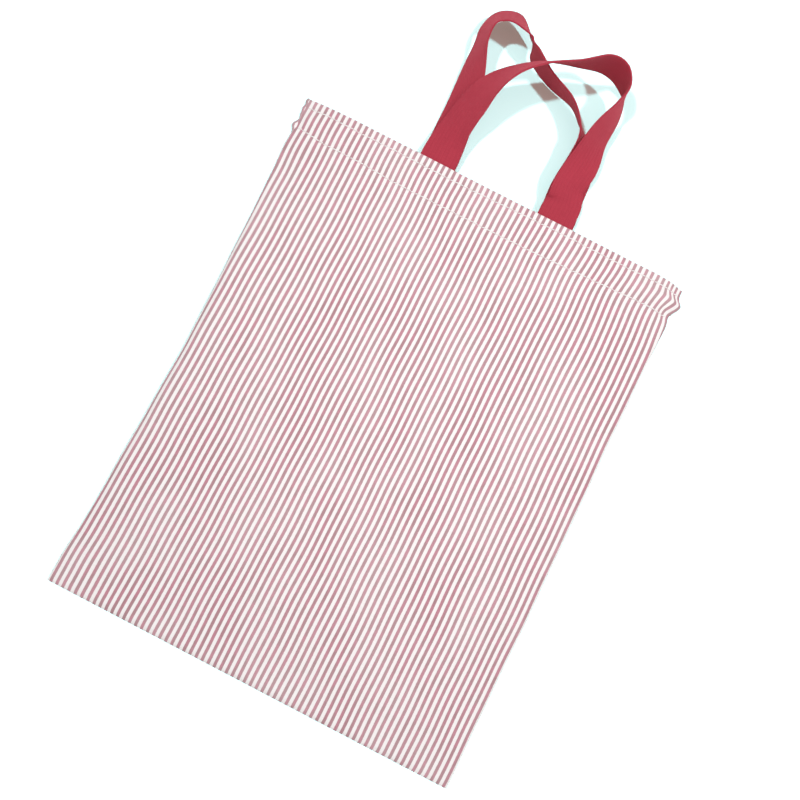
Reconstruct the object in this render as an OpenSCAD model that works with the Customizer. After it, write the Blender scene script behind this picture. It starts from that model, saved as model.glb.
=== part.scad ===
// Cotton tote bag with two webbing handles, lying flat on its back panel.
// X runs across the mouth, Y from the bottom seam to the handles, Z up from the surface it lies on.
// The origin is the middle of the back panel's resting face.

/* [Bag] */
// Width of the bag between its side seams
bag_w = 335; // [260:5:420]
// Height of the bag from the bottom seam to the top edge
bag_h = 420; // [320:5:520]
// Thickness of one ply of the striped cotton
cloth_t = 0.6; // [0.4:0.1:0.8]
// Height of the front panel's crown above the back panel
crown_h = 11.4; // [11:0.2:18]
// How squarely the front panel turns down at its edges
crown_power = 8; // [6:2:14]
// Radius of the back panel's corners
corner_r = 3; // [1:0.5:8]

/* [Hem] */
// Depth of the hem turned in round the mouth
hem_depth = 32; // [26:1:45]
// Distance of the upper stitch row from the top edge
upper_row = 7.5; // [5:0.5:10]
// Distance of the lower stitch row from the top edge
lower_row = 29; // [22:0.5:30]
// Length of one hem stitch, from hole to hole
hem_stitch = 4; // [3:0.5:6]
// Diameter of the sewing thread
thread_d = 0.5; // [0.3:0.05:0.6]

/* [Seams] */
// Width of the seam allowances inside the bag
allowance_w = 9; // [6:0.5:12]
// Distance of an allowance's seam edge from the outside of the bag
seam_inset = 1.6; // [1.4:0.1:2.5]
// Length of one seam stitch, from hole to hole
seam_stitch = 5; // [4:0.5:8]
// Spacing of the overlock stitches along the raw edges
overlock_pitch = 6; // [4:0.5:9]
// Length of one overlock stitch across the allowance
overlock_l = 3; // [2:0.5:4]

/* [Handles] */
// Width of the webbing
strap_w = 30; // [24:1:34]
// Thickness of the webbing
strap_t = 1.5; // [1:0.1:1.8]
// Distance between the middles of the front handle's two feet
foot_gap = 102; // [90:2:130]
// How far the longer loop reaches past its hinge line
loop_reach = 119; // [100:1:150]
// Length of the webbing ends that are sewn inside the hem
tuck_l = 30; // [20:1:32]
// Distance from the top edge to the line where the webbing first bends
bend_out = 5; // [4.5:0.5:8]

/* [Hidden] */

red = [0.72, 0.27, 0.32];
stripe = [0.90, 0.78, 0.80];
white = [0.97, 0.96, 0.95];

half_w = bag_w / 2;
half_h = bag_h / 2;
hem_t = 2 * cloth_t;              // the hem is turned twice, so it is two plies
allowance_t = 2 * cloth_t;        // one ply from each panel
ply_gap = 0.05;                   // air between plies that only lie on each other
thread_lift = 0.03;               // a stitch lies just proud of the cloth
thread_fn = 16;
stitch_fill = 0.72;               // share of a stitch that shows between two holes
corner_clip = 20;                 // the allowances are clipped away at the bottom corners

// The stack of plies at the mouth, from the back panel up to the front panel.
back_strap_z = cloth_t + hem_t + strap_t / 2;
front_hem_top = crown_h - ply_gap;
front_strap_z = front_hem_top - hem_t - ply_gap - strap_t / 2;

// Where the allowances and the hem end inside the bag.
allowance_out = half_w - seam_inset;
allowance_in = allowance_out - allowance_w;
bottom_out = half_h - seam_inset;
hem_clear = 0.3;
back_hem_half = allowance_in - hem_clear;
front_hem_share = 0.955;          // the front hem covers up to this share of the half width

// Each handle's route as [across, past the hinge line, height over its exit, lean in degrees].
// A lean of 0 lies flat, 90 stands on its outer edge, and more leans outwards.
front_route = [
    [-51, 0, 0, 0], [-51, 12, 1, 16], [-49.5, 25, 6, 28], [-45.5, 40, 16, 31],
    [-39, 56, 27, 39], [-26, 72, 37, 55], [-8, 86, 41, 62], [12, 98, 38, 71], [31, 110, 33, 88],
    [45, 110, 30, 95], [55.5, 100, 27, 87], [56.5, 85, 23, 73], [52.5, 63, 17, 56],
    [52, 41, 10, 33], [49.5, 23, 5, 31], [52, 10, 1, 12], [52, 0, 0, 0]
];
back_route = [
    [-51, 0, 0, 0], [-52, 21, 3, 17], [-54, 45, 8, 33], [-58, 69, 12, 50], [-62.5, 92, 18, 69],
    [-63, 107, 22, 63], [-56, 117, 24, 48], [-43, 119, 26, 48], [-28, 113, 21, 72],
    [-21, 104, 18, 88], [-2, 93, 15, 84], [22, 83, 16, 76], [35, 72, 13, 74], [45, 60, 11, 58],
    [50.5, 42, 7, 32], [51, 20, 2, 12], [53, 0, 0, 0]
];
route_gap = 102;                  // the foot gap, reach and webbing width that the routes were laid out for
route_reach = 119;
route_strap_w = 30;
route_steps = 5;                  // rings between two points of a route

hinge_y = half_h + bend_out;
handle_start = 1.3;               // the handle's root reaches this far back over the hinge line
root_gap = 0.9;                   // room between a webbing end and the root, which clears it as the loop swings
stub_end_y = hinge_y - handle_start - root_gap;
across = foot_gap / route_gap;
along = loop_reach / route_reach;
rise = strap_w / route_strap_w;
front_feet = [front_route[0][0] * across, front_route[len(front_route) - 1][0] * across];
back_feet = [back_route[0][0] * across, back_route[len(back_route) - 1][0] * across];

// ---- The crowned front panel ----

grid_n = 10;                      // grid steps from the middle to an edge
grid_ease = 2.5;                  // crowds the steps towards the edge
upper_rows = 5;                   // rows from the middle to the mouth

function eased(s) = sign(s) * (1 - pow(1 - abs(s), grid_ease));
function side_fall(u) = sqrt(max(0, 1 - pow(abs(u), crown_power)));
function end_fall(v) = v < 0 ? side_fall(v) : 1;

// Height of a crowned sheet of half width w, half length l and crown height h at the point x, y.
function crown_z(x, y, w, l, h) = cloth_t + h * side_fall(x / w) * end_fall(y / l);

columns = [for (i = [-grid_n : grid_n]) eased(i / grid_n)];
rows = concat([for (j = [-grid_n : 0]) eased(j / grid_n)], [for (j = [1 : upper_rows]) j / upper_rows]);

function sheet_points(w, l, h, y_top) =
    [for (v = rows) for (u = columns)
        let (x = u * w, y = v > 0 ? v * y_top : v * l)
        [x, y, crown_z(x, y, w, l, h)]];

module crowned_sheet(w, l, h, t) {
    nc = len(columns);
    nr = len(rows);
    count = nc * nr;
    outer = sheet_points(w, l, h, l);
    inner = sheet_points(w - t, l - t, h - t, l);
    function at(r, c, side) = side * count + r * nc + c;
    top = [for (r = [0 : nr - 2]) for (c = [0 : nc - 2])
        each [[at(r, c, 0), at(r + 1, c, 0), at(r + 1, c + 1, 0)],
              [at(r, c, 0), at(r + 1, c + 1, 0), at(r, c + 1, 0)]]];
    under = [for (r = [0 : nr - 2]) for (c = [0 : nc - 2])
        each [[at(r, c, 1), at(r + 1, c + 1, 1), at(r + 1, c, 1)],
              [at(r, c, 1), at(r, c + 1, 1), at(r + 1, c + 1, 1)]]];
    sides = [for (r = [0 : nr - 2])
        each [[at(r, 0, 0), at(r, 0, 1), at(r + 1, 0, 1)], [at(r, 0, 0), at(r + 1, 0, 1), at(r + 1, 0, 0)],
              [at(r, nc - 1, 0), at(r + 1, nc - 1, 1), at(r, nc - 1, 1)],
              [at(r, nc - 1, 0), at(r + 1, nc - 1, 0), at(r + 1, nc - 1, 1)]]];
    ends = [for (c = [0 : nc - 2])
        each [[at(0, c, 0), at(0, c + 1, 1), at(0, c, 1)], [at(0, c, 0), at(0, c + 1, 0), at(0, c + 1, 1)],
              [at(nr - 1, c, 0), at(nr - 1, c, 1), at(nr - 1, c + 1, 1)],
              [at(nr - 1, c, 0), at(nr - 1, c + 1, 1), at(nr - 1, c + 1, 0)]]];
    polyhedron(points = concat(outer, inner), faces = concat(top, under, sides, ends), convexity = 6);
}

module front_panel() {
    color(stripe) crowned_sheet(half_w, half_h, crown_h, cloth_t);
}

module back_panel() {
    straight_w = bag_w - 2 * corner_r;
    straight_h = bag_h - 2 * corner_r;
    color(stripe) linear_extrude(cloth_t) union() {
        square([straight_w, bag_h], center = true);
        square([bag_w, straight_h], center = true);
        for (sx = [-1, 1], sy = [-1, 1])
            translate([sx * straight_w / 2, sy * straight_h / 2]) circle(r = corner_r, $fn = 48);
    }
}

// ---- The hem ----

module back_hem() {
    color(stripe) translate([-back_hem_half, half_h - hem_depth, cloth_t])
        cube([2 * back_hem_half, hem_depth, hem_t]);
}

// The front hem follows the inside of the front panel as a band of two plies.
hem_w = half_w - cloth_t - ply_gap;
hem_h = crown_h - cloth_t - ply_gap;
hem_columns = [for (u = columns) if (abs(u) <= front_hem_share) u];

function hem_curve(w, h) = [for (u = hem_columns) [u * w, crown_z(u * w, half_h, w, half_h, h)]];

module front_hem() {
    upper = hem_curve(hem_w, hem_h);
    lower = hem_curve(hem_w - hem_t, hem_h - hem_t);
    last = len(lower) - 1;
    color(stripe) translate([0, half_h, 0]) rotate([90, 0, 0])
        linear_extrude(hem_depth)
            polygon(concat(upper, [for (i = [last : -1 : 0]) lower[i]]));
}

// ---- The handles ----

function route_point(route, i) =
    i < 0 ? 2 * route[0] - route[1]
    : i > len(route) - 1 ? 2 * route[len(route) - 1] - route[len(route) - 2]
    : route[i];

// A Catmull-Rom curve through the route's points: s is the share of the way from point i to i + 1.
function spline(a, b, c, d, s) =
    (2 * b + (c - a) * s + (2 * a - 5 * b + 4 * c - d) * s * s + (3 * b - a - 3 * c + d) * s * s * s) / 2;

function smooth_route(route) = concat(
    [for (i = [0 : len(route) - 2]) for (k = [0 : route_steps - 1])
        spline(route_point(route, i - 1), route[i], route[i + 1], route_point(route, i + 2), k / route_steps)],
    [route[len(route) - 1]]);

function placed(p, exit_z) = [p[0] * across, hinge_y + p[1] * along, exit_z + p[2] * rise];
function unit(v) = v / norm(v);

// The heading at sample i; both roots run straight out of the hem.
function heading(pts, i) =
    i == 0 ? [0, 1, 0]
    : i == len(pts) - 1 ? [0, -1, 0]
    : unit(pts[i + 1] - pts[i - 1]);

function webbing_ring(p, t, lean) =
    let (level = unit(cross(t, [0, 0, 1])),
         upright = cross(level, t),
         wide = cos(lean) * level + sin(lean) * upright,
         thick = cross(wide, t),
         w = wide * strap_w / 2,
         h = thick * strap_t / 2)
    [p - w - h, p + w - h, p + w + h, p - w + h];

module webbing_loop(route, exit_z) {
    bare = smooth_route(route);
    last = len(bare) - 1;
    mid = [for (q = bare) placed(q, exit_z)];
    pts = [for (i = [0 : last]) i == 0 || i == last ? mid[i] - [0, handle_start, 0] : mid[i]];
    rings = [for (i = [0 : last]) webbing_ring(pts[i], heading(pts, i), bare[i][3])];
    walls = [for (i = [0 : last - 1]) for (k = [0 : 3])
        let (a = 4 * i + k, b = 4 * i + (k + 1) % 4)
        each [[a, b, b + 4], [a, b + 4, a + 4]]];
    caps = [[3, 2, 1], [3, 1, 0], [4 * last, 4 * last + 1, 4 * last + 2], [4 * last, 4 * last + 2, 4 * last + 3]];
    polyhedron(points = [for (r = rings) each r], faces = concat(walls, caps), convexity = 8);
}

module front_handle() {
    color(red) webbing_loop(front_route, front_strap_z);
}

module back_handle() {
    color(red) webbing_loop(back_route, back_strap_z);
}

// A webbing end runs from inside the hem to just short of the hinge line.
module webbing_end(x, z) {
    tuck_y = half_h - tuck_l;
    color(red) translate([x - strap_w / 2, tuck_y, z - strap_t / 2])
        cube([strap_w, stub_end_y - tuck_y, strap_t]);
}

module front_handle_left_end() { webbing_end(front_feet[0], front_strap_z); }
module front_handle_right_end() { webbing_end(front_feet[1], front_strap_z); }
module back_handle_left_end() { webbing_end(back_feet[0], back_strap_z); }
module back_handle_right_end() { webbing_end(back_feet[1], back_strap_z); }

// ---- The seam allowances inside the bag ----

module side_allowance() {
    color(white) translate([0, 0, cloth_t]) linear_extrude(allowance_t)
        polygon([[allowance_in, half_h], [allowance_in, -half_h + corner_clip + allowance_w],
                 [allowance_out, -half_h + corner_clip], [allowance_out, half_h]]);
}

module left_seam_allowance() { mirror([1, 0, 0]) side_allowance(); }
module right_seam_allowance() { side_allowance(); }

bottom_end = half_w - corner_clip - allowance_w;

module bottom_seam_allowance() {
    color(white) translate([0, 0, cloth_t]) linear_extrude(allowance_t)
        polygon([[-bottom_end, -bottom_out + allowance_w], [-bottom_end - allowance_w, -bottom_out],
                 [bottom_end + allowance_w, -bottom_out], [bottom_end, -bottom_out + allowance_w]]);
}

// ---- The stitching ----

// A thread of length l that lies along X on the plane z = 0.
module stitch(l) {
    color(white) translate([-l / 2, 0, thread_d / 2 + thread_lift])
        rotate([0, 90, 0]) cylinder(h = l, d = thread_d, $fn = thread_fn);
}

row_half = floor(back_hem_half / hem_stitch) * hem_stitch;

function slope(x) = atan2(crown_z(x + 0.5, 0, half_w, half_h, crown_h)
                          - crown_z(x - 0.5, 0, half_w, half_h, crown_h), 1);

// A row on the crowned outside of the front panel.
module front_row(from_top) {
    for (x = [-row_half + hem_stitch / 2 : hem_stitch : row_half])
        translate([x, half_h - from_top, crown_z(x, 0, half_w, half_h, crown_h)])
            rotate([0, -slope(x), 0]) stitch(hem_stitch * stitch_fill);
}

// How high the inside of the back hem lies at x: the webbing ends lie on it.
function on_foot(x, foot) = abs(x - foot) < strap_w / 2 + hem_stitch / 2;
function back_row_z(x) =
    on_foot(x, back_feet[0]) || on_foot(x, back_feet[1])
    ? cloth_t + hem_t + strap_t : cloth_t + hem_t;

// A row on the inside of the back hem.
module back_row(from_top) {
    for (x = [-row_half + hem_stitch / 2 : hem_stitch : row_half])
        translate([x, half_h - from_top, back_row_z(x)])
            stitch(hem_stitch * stitch_fill);
}

module front_upper_stitches() { front_row(upper_row); }
module front_lower_stitches() { front_row(lower_row); }
module back_upper_stitches() { back_row(upper_row); }
module back_lower_stitches() { back_row(lower_row); }

seam_line = 1.5;                  // distance of the seam stitches from the allowance's seam edge

// The side seam's stitches lie on the allowance, near its seam edge.
module side_stitches() {
    y_low = -half_h + corner_clip + seam_stitch;
    for (y = [y_low : seam_stitch : half_h - seam_stitch])
        translate([allowance_out - seam_line, y, cloth_t + allowance_t])
            rotate([0, 0, 90]) stitch(seam_stitch * stitch_fill);
}

module left_seam_stitches() { mirror([1, 0, 0]) side_stitches(); }
module right_seam_stitches() { side_stitches(); }

module bottom_seam_stitches() {
    n = floor(bottom_end / seam_stitch);
    for (i = [-n : n])
        translate([i * seam_stitch, -bottom_out + seam_line, cloth_t + allowance_t])
            stitch(seam_stitch * stitch_fill);
}

// Overlock stitches bind the raw edge of each allowance.
module side_overlock() {
    y_low = -half_h + corner_clip + allowance_w + overlock_pitch / 2;
    for (y = [y_low : overlock_pitch : half_h - overlock_pitch / 2])
        translate([allowance_in + overlock_l / 2 + thread_lift, y, cloth_t + allowance_t])
            stitch(overlock_l);
}

module left_overlock() { mirror([1, 0, 0]) side_overlock(); }
module right_overlock() { side_overlock(); }

module bottom_overlock() {
    n = floor(bottom_end / overlock_pitch);
    for (i = [-n : n])
        translate([i * overlock_pitch, -bottom_out + allowance_w - overlock_l / 2 - thread_lift,
                   cloth_t + allowance_t])
            rotate([0, 0, 90]) stitch(overlock_l);
}

back_panel();
front_panel();
back_hem();
front_hem();
front_handle();
back_handle();
front_handle_left_end();
front_handle_right_end();
back_handle_left_end();
back_handle_right_end();
left_seam_allowance();
right_seam_allowance();
bottom_seam_allowance();
front_upper_stitches();
front_lower_stitches();
back_upper_stitches();
back_lower_stitches();
left_seam_stitches();
right_seam_stitches();
bottom_seam_stitches();
left_overlock();
right_overlock();
bottom_overlock();
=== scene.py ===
"""A flat tote bag of striped cotton with two webbing handles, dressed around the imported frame.

Everything is worked out in millimetres and stored in metres. X runs across the mouth, Y from the bottom
seam towards the handles, and Z up through the front panel from the surface that the bag lies on. On the
cloth itself, s runs across from a panel's middle line and q along it from the bottom seam.
"""

import bpy
import numpy as np
from mathutils import Matrix, Vector


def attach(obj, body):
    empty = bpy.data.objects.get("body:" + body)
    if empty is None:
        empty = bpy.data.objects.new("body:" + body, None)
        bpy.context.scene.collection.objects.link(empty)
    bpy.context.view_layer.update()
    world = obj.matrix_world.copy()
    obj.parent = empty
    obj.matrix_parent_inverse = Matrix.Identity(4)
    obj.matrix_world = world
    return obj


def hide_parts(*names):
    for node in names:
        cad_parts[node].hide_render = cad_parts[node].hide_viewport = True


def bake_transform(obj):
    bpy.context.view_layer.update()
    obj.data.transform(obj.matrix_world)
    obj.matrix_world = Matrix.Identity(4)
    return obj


MM = 0.001

# The cloth, in millimetres.
HALF_ACROSS = 167.5  # half of a panel's width in the flat
PANEL = 420.0  # a panel's length from the bottom seam to the fold of the hem
BOTTOM_Y = -210.0  # where the bottom seam lies before the panel is drawn up
HEM = 32.0  # depth of the hem
HEM_TUCK = 28.0  # how far up its raw edge is tucked in
CLOTH = 0.56  # thickness of one ply
PLY = 0.6  # from the middle of one ply to the middle of the next
CLEAR = 0.02  # under the back panel
EDGE_FADE = 27.5  # how far in from its sides the back panel lifts to meet the front
END_FADE = 14.0  # and how far up from the bottom seam
BACK_AHEAD = 0.4  # how much further up than the front the back panel lies
SEAM_HEIGHT = 0.9  # of the line where the two panels meet
FOLD_CLOTH, ROUND_CLOTH = 2.0, 1.0  # lengths of cloth round the hem's fold and its inner edge
FOLD_ROWS, DOWN_ROWS, ROUND_ROWS, UP_ROWS = 6, 18, 4, 8  # grid rows of the hem's four parts
LEAST_CURL = 0.05  # the lowest height that an edge turns down by
HEM_PITCH = 4.0  # from one hem stitch to the next
HALF_STITCH = 0.45 * HEM_PITCH
FRONT_STITCHES, BACK_STITCHES = 41, 39  # on each side of the middle one
STITCH_SLANT = 0.35  # how far a hem stitch runs down at one end and up at the other
STITCH_LIFT = 0.16  # from the cloth to the middle of the thread
STITCH_ARCH = 0.32  # how much further the middle of a stitch lies up, as a share of its thickness
STITCH_SINK = 0.15  # how far under the cloth it goes at its ends, past its own thickness
STITCH_RINGS = 6
THREAD = 0.92
THREAD_SIDES = 6
STRIPE_PITCH = 5.0
STRIPE_SHIFT = 3.0  # where the first stripe's middle lies

# The webbing, in millimetres.
WEB_WIDE = 30.0
WEB_THICK = 1.5
WEB_STEPS = 14  # rings between two points of a route
WEB_COLUMNS = 61  # points across each face
WEB_ROUND = 4  # points round each edge
TUCK_RINGS = 14  # rings in each sewn-in end
RIB_PITCH = 3.0  # from one rib of the herringbone to the next
RIB_HIGH = 0.035
RIB_SUNK = 0.03  # how much the ribbed faces lie in from the webbing's full thickness
WEB_YARN = 0.95  # from one slanting yarn to the next
WEB_WARP = 0.75  # from one warp yarn to the next
TUCK_START = 180.0  # where the sewn-in ends of the handles begin
HINGE_Y = 215.0
FRONT_EXIT = 9.35  # height of the front handle's middle where it leaves the hem
BACK_EXIT = 2.55

# The seams, in millimetres.
SIDE_SEAM = (22.0, 387.0)  # where a side allowance starts, past the clipped corner, and ends, in the hem
BOTTOM_SEAM = (-140.0, 140.0)
SEAM_INSET = 1.6  # from the folded edge to the seam allowance
ALLOWANCE = 9.0
ALLOWANCE_GAP = 0.08  # between an allowance and the back panel under it
ALLOWANCE_GRID = (7, 170)  # points across and along
SIDE_FREE, SIDE_FREE_LENGTH = 0.35, 11.0  # height and length of the waves in its free edge
BOTTOM_FREE, BOTTOM_FREE_LENGTH = 0.3, 12.0
SEAM_PITCH = 5.0
SEAM_STITCH = 3.6  # length of one seam stitch
SEAM_LINE = 0.9  # from an allowance's edge at the seam to its row of stitches
SEAM_THREAD = 0.4
SEAM_ENDS = (6.0, 4.0)  # from an allowance's ends to its first and last stitch
OVERLOCK_PITCH = 3.0
OVERLOCK_REACH = 1.5
OVERLOCK_THREAD = 0.32
OVERLOCK_GAP = 0.2  # from the allowance's faces to the middle of the thread
OVERLOCK_PROUD = 0.25  # and from its raw edge
OVERLOCK_ENDS = (2.0, 1.0)
OVERLOCK_RINGS = 10  # in each loop

# Colours as they look on a screen.
WHITE = (251, 246, 245)
STRIPE_ROSE = (191, 123, 139)
STRIPE_DUSK = (171, 123, 130)
WEB_RED = (190, 62, 79)
# the next colour is painted shade for the low places of the webbing's weave
WEB_HOLLOW_SHADE = (160, 44, 62)
WEB_FUZZ = (225, 110, 125)
THREAD_SHADE = (232, 228, 226)

# The weaves. Heights and flecks are shares of a whole yarn's height or colour.
CLOTH_SPECULAR = 0.25
SHEEN_ROUGHNESS = 0.4
STRIPE_RAGGED = 0.07  # how far a stripe's edge strays, as a share of the pitch
TWILL_PITCH = 1.15  # of the fine slanting lines in the red, in millimetres
TWILL_FLECK = 0.05
WEFT_FLECK = 0.12
WARP_PROUD = 0.18
WEB_SLANT = 1.6  # how steeply the webbing's yarns slant
YARN_HIGH = 0.5
WARP_HIGH = 0.25
GROUND_HIGH = 0.4
THREAD_PLY = 0.55  # from one twist of the thread to the next, in millimetres
THREAD_SLANT = 0.8

# How finely each unevenness of a cloth runs, per metre across it and along it.
SLUBS_ALONG = (1500.0, 90.0, 1.0)
SLUBS_ACROSS = (110.0, 1400.0, 1.0)
SOFT_PATCHES = (22.0, 13.0, 1.0)
RAGGED_EDGES = (900.0, 420.0, 1.0)
MOTTLED_DYE = (300.0, 110.0, 1.0)

# The light. The floor's lamps light the floor alone, and their colour shows only in its shadows.
FLOOR_HALF = 4.0
FLOOR_DROP = 0.0002  # metres from the bag's lowest point to the floor
FLOOR_SEEN = (0.25, 0.25, 0.25, 1.0)  # the floor's colour as the camera sees it
FLOOR_BOUNCE = (0.27, 0.16, 0.15, 1.0)  # and as it lights the bag: grey under the coloured floor lamps
FLOOR_GLOW = (0.198, 0.13, 0.105, 1.0)  # what is left where both shadows fall
FLOOR_TINT = (0.465, 0.90, 0.92)
FLOOR_LAMP = 9.4
FLOOR_SOFTNESS = 3.0  # degrees that a lamp spans
ROOM_LIGHT = 0.55
FROM_LEFT = (0.30, 0.20, -1.0)  # headings of the two lamps
FROM_RIGHT = (-0.47, 0.04, -1.0)
LAMP = 0.22
LAMP_SOFTNESS = 4.0
PLAIN = (1.0, 1.0, 1.0)
SOFTBOX_AT = (0.10, 0.20, 0.80)  # a wide lamp over the handles' side of the bag
SOFTBOX_WIDE = 0.5
SOFTBOX = 3.1

# The camera, in metres: its place, lens and axes.
CAMERA_AT = (0.0209, -0.0498, 0.6894)
CAMERA_LENS = 40.5  # this and the sensor in millimetres
CAMERA_SENSOR = 36.0
CAMERA_CLIP = (0.01, 50.0)
CAMERA_RIGHT = (0.8931, 0.4487, 0.0332)
CAMERA_UP = (-0.4495, 0.8864, 0.1102)
CAMERA_BACK = (0.0200, -0.1134, 0.9934)

# The handles' routes, as in the part's source: across, past the hinge line, height over the exit, lean.
FRONT_ROUTE = [
    (-51, 0, 0, 0), (-51, 12, 1, 16), (-49.5, 25, 6, 28), (-45.5, 40, 16, 31), (-39, 56, 27, 39),
    (-26, 72, 37, 55), (-8, 86, 41, 62), (12, 98, 38, 71), (31, 110, 33, 88), (45, 110, 30, 95),
    (55.5, 100, 27, 87), (56.5, 85, 23, 73), (52.5, 63, 17, 56), (52, 41, 10, 33), (49.5, 23, 5, 31),
    (52, 10, 1, 12), (52, 0, 0, 0),
]
BACK_ROUTE = [
    (-51, 0, 0, 0), (-52, 21, 3, 17), (-54, 45, 8, 33), (-58, 69, 12, 50), (-62.5, 92, 18, 69),
    (-63, 107, 22, 63), (-56, 117, 24, 48), (-43, 119, 26, 48), (-28, 113, 21, 72), (-21, 104, 18, 88),
    (-2, 93, 15, 84), (22, 83, 16, 76), (35, 72, 13, 74), (45, 60, 11, 58), (50.5, 42, 7, 32),
    (51, 20, 2, 12), (53, 0, 0, 0),
]


# ---- Small helpers on whole arrays ----


def ease(t):
    """Smooth step from 0 to 1: 3t^2 - 2t^3, held flat outside."""
    t = np.clip(t, 0.0, 1.0)
    return t * t * (3.0 - 2.0 * t)


def hump(t):
    """A bell of height 1 and half width 1: exp(-t^2)."""
    return np.exp(-t * t)


def step(at, by, start, over):
    """A smooth step that begins at start and takes over to finish: by * ease((at - start) / over)."""
    return by * ease((at - start) / over)


def wave(at, size, length, phase):
    """A sine along a line: size * sin(at / length + phase)."""
    return size * np.sin(at / length + phase)


def ripple(x, y, across, along, phase):
    """A sine over a plane: sin(x / across + y / along + phase)."""
    return np.sin(y / along + x / across + phase)


def through(stations, at):
    """A smooth curve through (place, value) stations, flat beyond both ends.

    Between two stations it is the cubic whose slope at each is the mean slope around that station.
    """
    place, value = np.array(stations, float).T
    slope = np.gradient(value, place)
    slope[0] = slope[-1] = 0.0
    at = np.clip(at, place[0], place[-1])
    i = np.clip(np.searchsorted(place, at, side="right") - 1, 0, len(place) - 2)
    span = place[i + 1] - place[i]
    t = (at - place[i]) / span
    return (
        value[i] * (1 + 2 * t) * (1 - t) ** 2
        + value[i + 1] * t * t * (3 - 2 * t)
        + span * t * (1 - t) * (slope[i] * (1 - t) - slope[i + 1] * t)
    )


def unit(v):
    """Vectors divided by their own length."""
    return v / np.linalg.norm(v, axis=-1, keepdims=True)


def summed(values, gap):
    """Running integral of a line of values by the trapezium rule, from 0."""
    return np.concatenate([[0], np.cumsum((values[1:] + values[:-1]) / 2 * gap)])


# How far a strip of cloth gets out and down while it turns through a quarter, by the share t of its
# length: its slope angle is a right angle times t squared, so it starts flat and ends upright.
TURN = np.linspace(0.0, 1.0, 401)
TURN_ANGLE = 0.5 * np.pi * TURN**2
TURN_OUT = summed(np.cos(TURN_ANGLE), TURN[1])
TURN_DOWN = summed(np.sin(TURN_ANGLE), TURN[1])


def curl(distance, height):
    """A cloth edge that turns down by height: distance is measured along the cloth, back from the edge.

    Returns how far inside the turned edge the cloth is, and how far below the flat it has come.
    """
    length = np.maximum(height, LEAST_CURL) / TURN_DOWN[-1]
    t = np.clip(1.0 - distance / length, 0.0, 1.0)
    out = length * (TURN_OUT[-1] - np.interp(t, TURN, TURN_OUT)) + np.maximum(distance - length, 0.0)
    return out, length * np.interp(t, TURN, TURN_DOWN)


# ---- The cloth's shape ----

# Stations along Y: the height of the side folds, where the front cloth ends at each side, the height of
# its middle, and how the stripes drift and are drawn in. Along X: the line of the top edge.
LEFT_HEIGHT = [
    (-212, 2.0), (-190, 2.4), (-150, 4.5), (-100, 6.0), (-50, 7.0), (0, 7.5), (50, 7.0), (75, 6.0),
    (100, 4.5), (130, 2.6), (150, 1.4), (210, 1.2),
]
RIGHT_HEIGHT = [(-212, 1.8), (-100, 2.2), (110, 2.2), (150, 1.8), (178, 1.4), (210, 1.2)]
LEFT_EDGE = [
    (-212, 165.8), (-200, 165.9), (-150, 166.1), (-100, 167.2), (-50, 166.9), (0, 167.3), (50, 168.7),
    (75, 169.2), (130, 169.3), (210, 169.5),
]
RIGHT_EDGE = [(-212, 166.7), (100, 166.9), (150, 166.8), (165, 168.1), (178, 169.5), (210, 169.5)]
MIDDLE_HEIGHT = [(-212, 4.5), (-170, 8.0), (-100, 10.5), (0, 11.0), (210, 11.0)]
BOTTOM_HEIGHT = 4.5
SHIFT = [(-205, -1.75), (-150, -1.3), (-100, -0.65), (0, -0.35), (150, -0.05), (178, -0.3), (204, 0.3)]
PULL = [
    (-205, -0.4), (-150, 0.35), (-100, 1.0), (0, 2.05), (75, 2.85), (150, 2.8), (178, 2.85), (190, 2.1),
    (204, 1.5),
]
PULL_MIDDLE = -18.0  # where the pull is nothing
PULL_REACH = 130.0  # and how far from there it is greatest
TOP = [
    (-166, 210.2), (-150, 210.0), (-100, 208.2), (-50, 207.1), (0, 206.4), (60, 206.1), (120, 206.2),
    (150, 207.0), (158, 206.6), (168, 205.0),
]
BOTTOM_LINE = (-211.4, -0.009)  # the bottom edge's Y at the middle, and its slope
ACROSS_SHIFT = 2.0  # the whole front lies this far to the right

# Places where the cloth is pushed sideways: how far, then where across (x) and along (y), each as a
# shape, its place and its width. A negative width turns a step round.
PUSHES = [
    (-1.1, [(ease, 95, 25)], [(hump, 183, 15)]),  # the right end of the hem's lower row
    (-2.6, [(ease, 154, 14)], [(hump, 187, 5.5)]),  # pinched in at its very end
    (1.3, [(ease, 140, 25)], [(hump, 198.5, 4.5)]),  # the bulge between the rows
    (0.65, [(ease, 100, 25)], [(hump, 138, 22)]),  # back out below it
    (-0.45, [(ease, 0, 60), (ease, 140, -22)], [(ease, 120, -40), (ease, -140, 60)]),  # right half
    (-0.6, [(hump, -5, 30)], [(ease, 180, 12)]),  # between the handles
    (0.5, [(hump, 22, 25)], [(hump, 165, 14)]),  # under the hem
    (0.7, [(hump, -98, 38)], [(ease, -215, 30)]),  # all up the left
    (-1.7, [(ease, -142, -15)], [(hump, 169, 15)]),  # the left end of the lower row
    (-1.4, [(ease, -125, -25)], [(ease, -160, -30)]),  # the bottom left corner
    (0.5, [(ease, -125, -20)], [(hump, 5, 60)]),  # the middle of the left side
    (-3.5, [(ease, 150, 22)], [(ease, 198, 6)]),  # the right end of the top edge
    (0.6, [(ease, 135, 25)], [(hump, -20, 90)]),  # the middle of the right side
]
RIPPLES = [(0.14, 17, 9.5, 0), (0.12, -23, 15, 1.3)]  # small sideways waves: size, then as ripple takes

# The two rows of hem stitches: depth under the fold at the left, the steps that it takes on its way to
# the right, and the sewer's small wave.
UPPER_ROW = {
    "depth": 6.2, "steps": [(0.9, -155, 40), (-1.4, -60, 140)], "wave": (0.25, 21, 0),
}
LOWER_ROW = {
    "depth": 25.0, "steps": [(3.2, -164, 22), (1.4, -105, 25), (-3.9, 20, 135)], "wave": (0.3, 27, 1),
}

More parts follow.
